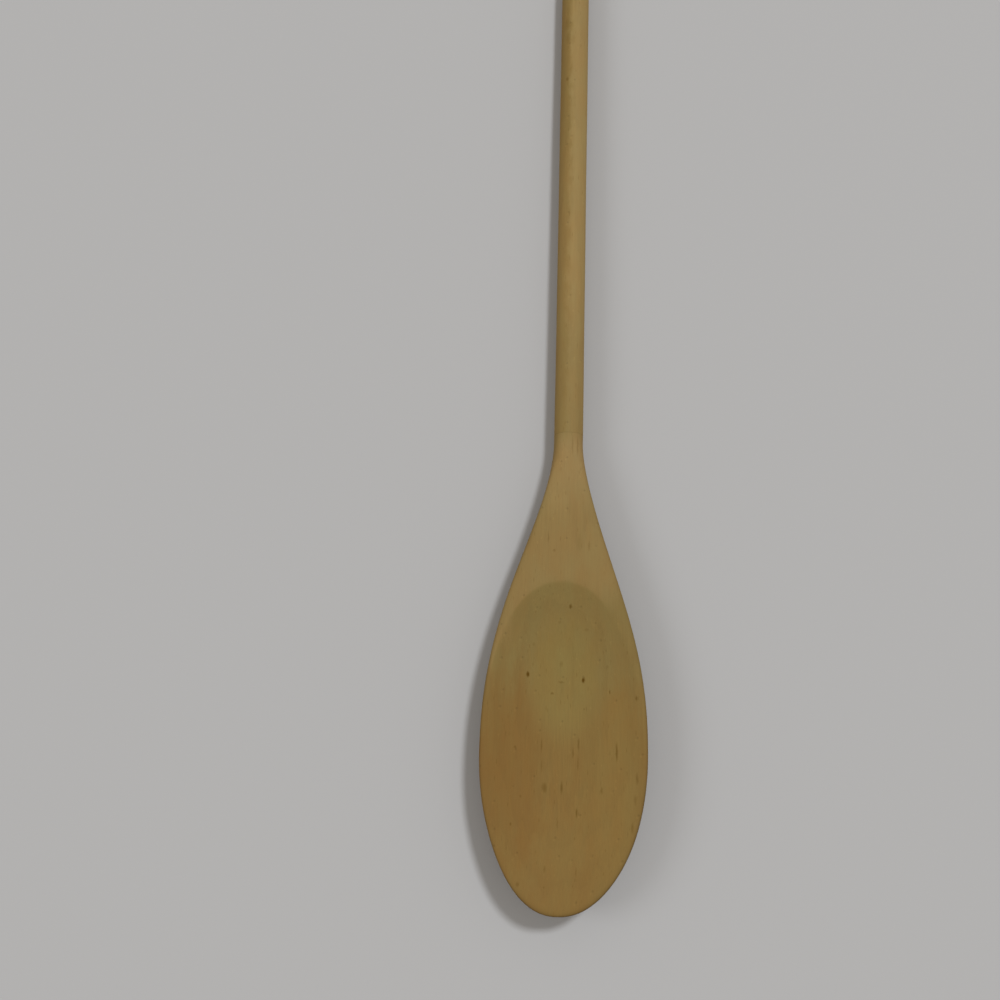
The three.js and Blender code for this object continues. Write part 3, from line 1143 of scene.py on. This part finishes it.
class SPOON_OT_bowl_head(bpy.types.Operator):
    """Make the head: bowl, shoulders and neck with its socket"""

    bl_idname = "spoon.make_bowl_head"
    bl_label = "Bowl Head"

    def execute(self, context):
        sizes = context.scene.spoon_sizes
        across, along, height, hollow = head_skin(sizes)
        sanded = height + head_sanding(sizes, across, along)
        skin = worn_flat(in_frame(sizes, across + sway(along), along, sanded))
        socket = socket_rings(sizes, across[-1], sanded[-1])
        bottom = socket_bottom(sizes)
        grid = np.concatenate([skin, in_frame(sizes, *np.moveaxis(socket, -1, 0))])
        tip_point = in_frame(sizes, sway(0.0), 0.0, sizes.edge_height)
        bottom_point = in_frame(sizes, 0.0, bottom, 0.0)
        vertices = np.vstack([grid.reshape(-1, 3), tip_point, bottom_point])

        def whole(on_skin, in_socket, at_tip):
            """Values of all points; the socket's bottom is as its walls."""
            inside = np.full(socket.shape[:2], in_socket)
            return np.concatenate([on_skin.ravel(), inside.ravel(), [at_tip, in_socket]])

        place = np.concatenate([np.stack([across, along, height], -1), socket]).reshape(-1, 3)
        place = np.vstack([place, (0.0, 0.0, sizes.edge_height), (0.0, bottom, 0.0)])
        attributes = {
            "wood_place": place / MM,
            "edge_wear_and_shade": whole(edge_wear_and_shade(sizes, across, along), 0.0, 1.0),
            "upper_side": whole(upper_side(sizes, across, along, sanded), 0.0, 0.0),
            "hollow": whole(hollow, 0.0, 0.0),
            "end_grain": whole(tip_grain(along, hollow), 1.0, 1.0),
        }
        faces = skin_faces(len(grid), HEAD_COLUMNS)
        head = add_piece("bowl_head_wood", vertices, faces, attributes, head_map(grid))
        material = wood_material("head beech", context.scene.spoon_wood, head_tone, HEAD_MARKS)
        head.data.materials.append(material)
        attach(head, "root")
        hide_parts("bowl_head")
        return {"FINISHED"}


class SPOON_OT_handle(bpy.types.Operator):
    """Make the handle: tenon, shaft and rounded end"""

    bl_idname = "spoon.make_handle"
    bl_label = "Handle"

    def execute(self, context):
        sizes = context.scene.spoon_sizes
        radius, station = handle_profile(sizes)
        turn = np.linspace(0, 2 * math.pi, HANDLE_COLUMNS, endpoint=False)
        along = np.broadcast_to(station[:, None], (len(station), HANDLE_COLUMNS))
        shaft = smooth_step(along, sizes.head_length, sizes.head_length + HANDLE_RUN_OUT)
        girth = radius[:, None] + sanding(radius[:, None] * np.cos(turn), along, turn) * shaft
        across, height = girth * np.cos(turn), girth * np.sin(turn)
        grid = in_frame(sizes, across, along, height)
        ends = np.array([[0.0, station[0], 0.0], [0.0, station[-1], 0.0]])
        vertices = np.concatenate([grid.reshape(-1, 3), in_frame(sizes, *ends.T)])

        place = np.stack([across, along, height], -1).reshape(-1, 3)
        place = np.concatenate([place, ends]) / MM
        lean = np.abs(np.gradient(radius)) / np.hypot(np.gradient(radius), np.gradient(station))
        attributes = {
            "wood_place": place,
            "upper_side": smooth_step(place[:, 2], *HANDLE_FADE),
            "end_grain": np.concatenate([np.repeat(lean**2, HANDLE_COLUMNS), [1.0, 1.0]]),
        }
        faces = skin_faces(len(station), HANDLE_COLUMNS)
        corners = handle_map(sizes, grid, station)
        handle = add_piece("handle_wood", vertices, faces, attributes, corners)
        material = wood_material("handle beech", context.scene.spoon_wood, handle_tone, HANDLE_MARKS)
        handle.data.materials.append(material)
        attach(handle, "root")
        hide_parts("handle")
        return {"FINISHED"}


class SPOON_OT_stage(bpy.types.Operator):
    """Set the table, lamps, room light and camera"""

    bl_idname = "spoon.set_stage"
    bl_label = "Table and Light"

    def execute(self, context):
        stage = context.scene.spoon_stage
        self.table(context.scene, stage)
        self.lamp(context.scene, "key lamp", KEY_WAY, KEY_SPREAD, stage.key_share, stage.lamp_colour)
        self.lamp(context.scene, "fill lamp", FILL_WAY, FILL_SPREAD, stage.fill_share, stage.lamp_colour)
        self.room(context.scene, stage)
        self.camera(context.scene, stage)
        context.scene.view_settings.view_transform = "Standard"
        return {"FINISHED"}

    @staticmethod
    def table(scene, stage):
        """A wide round table under the spoon."""
        mesh = bpy.data.meshes.new("table")
        turns = np.linspace(0, 2 * math.pi, TABLE_CORNERS, endpoint=False)
        rim = [(TABLE_RADIUS * math.cos(turn), TABLE_RADIUS * math.sin(turn), 0.0) for turn in turns]
        mesh.from_pydata(rim, [], [tuple(range(TABLE_CORNERS))])
        table = bpy.data.objects.new("table", mesh)
        scene.collection.objects.link(table)
        material = bpy.data.materials.new("pale table")
        material.use_nodes = True
        shader = Shader(material.node_tree)
        sockets = {
            "Base Color": (*stage.table_colour, 1.0),
            "Roughness": TABLE_ROUGHNESS,
            "Specular IOR Level": TABLE_SHINE,
        }
        bsdf = shader.add("ShaderNodeBsdfPrincipled", {}, sockets)
        shader.add("ShaderNodeOutputMaterial", {}, {"Surface": bsdf})
        mesh.materials.append(material)

    @staticmethod
    def lamp(scene, name, way, spread, share, colour):
        """A far soft lamp that gives a share of the light on the table."""
        way = way.normalized()
        light = bpy.data.lights.new(name, "SUN")
        light.angle = spread
        light.energy = share * math.pi / way.z
        light.color = colour
        lamp = bpy.data.objects.new(name, light)
        lamp.location = way
        lamp.rotation_euler = way.to_track_quat("Z", "Y").to_euler()
        scene.collection.objects.link(lamp)

    @staticmethod
    def room(scene, stage):
        """Even light from all round, and a backdrop like the table where a ray sees it."""
        scene.world = bpy.data.worlds.new("room")
        scene.world.use_nodes = True
        shader = Shader(scene.world.node_tree)
        seen = shader.add("ShaderNodeLightPath", {}, {}, "Is Camera Ray")
        rays = seen.socket.node.outputs
        for ray in ("Is Glossy Ray", "Is Transmission Ray"):
            seen = shader.math("MAXIMUM", seen, Wire(shader, rays[ray]))
        light = [stage.room_share * channel for channel in stage.room_colour]
        colour = shader.blend(seen, light, stage.table_colour)
        background = shader.add("ShaderNodeBackground", {}, {"Color": colour, "Strength": 1.0})
        shader.add("ShaderNodeOutputWorld", {}, {"Surface": background})

    @staticmethod
    def camera(scene, stage):
        """Above the bowl, tilted towards the handle."""
        data = bpy.data.cameras.new("camera")
        data.sensor_width = SENSOR_WIDTH
        data.lens = stage.lens
        data.clip_start = NEAREST_SEEN
        camera = bpy.data.objects.new("camera", data)
        turned = Matrix.Rotation(CAMERA_TILT, 4, "X") @ Matrix.Rotation(CAMERA_ROLL, 4, "Z")
        camera.matrix_world = Matrix.Translation(CAMERA_PLACE) @ turned
        scene.collection.objects.link(camera)
        scene.camera = camera


class SPOON_PT_panel(bpy.types.Panel):
    """Wooden spoon tools"""

    bl_idname = "SPOON_PT_panel"
    bl_label = "Wooden Spoon"
    bl_space_type = "VIEW_3D"
    bl_region_type = "UI"
    bl_category = "Wooden Spoon"

    def draw(self, context):
        for operator in (SPOON_OT_bowl_head, SPOON_OT_handle, SPOON_OT_stage):
            self.layout.operator(operator.bl_idname)
        for group in ("spoon_sizes", "spoon_wood", "spoon_stage"):
            box = self.layout.box()
            values = getattr(context.scene, group)
            for name in values.__annotations__:
                box.prop(values, name)


CLASSES = (
    SpoonSizes,
    SpoonWood,
    SpoonStage,
    SPOON_OT_bowl_head,
    SPOON_OT_handle,
    SPOON_OT_stage,
    SPOON_PT_panel,
)


def register():
    for cls in CLASSES:
        bpy.utils.register_class(cls)
    bpy.types.Scene.spoon_sizes = PointerProperty(type=SpoonSizes)
    bpy.types.Scene.spoon_wood = PointerProperty(type=SpoonWood)
    bpy.types.Scene.spoon_stage = PointerProperty(type=SpoonStage)


def unregister():
    del bpy.types.Scene.spoon_stage
    del bpy.types.Scene.spoon_wood
    del bpy.types.Scene.spoon_sizes
    for cls in reversed(CLASSES):
        bpy.utils.unregister_class(cls)


def main():
    register()
    bpy.ops.spoon.make_bowl_head()
    bpy.ops.spoon.make_handle()
    bpy.ops.spoon.set_stage()


if __name__ == "__main__":
    main()
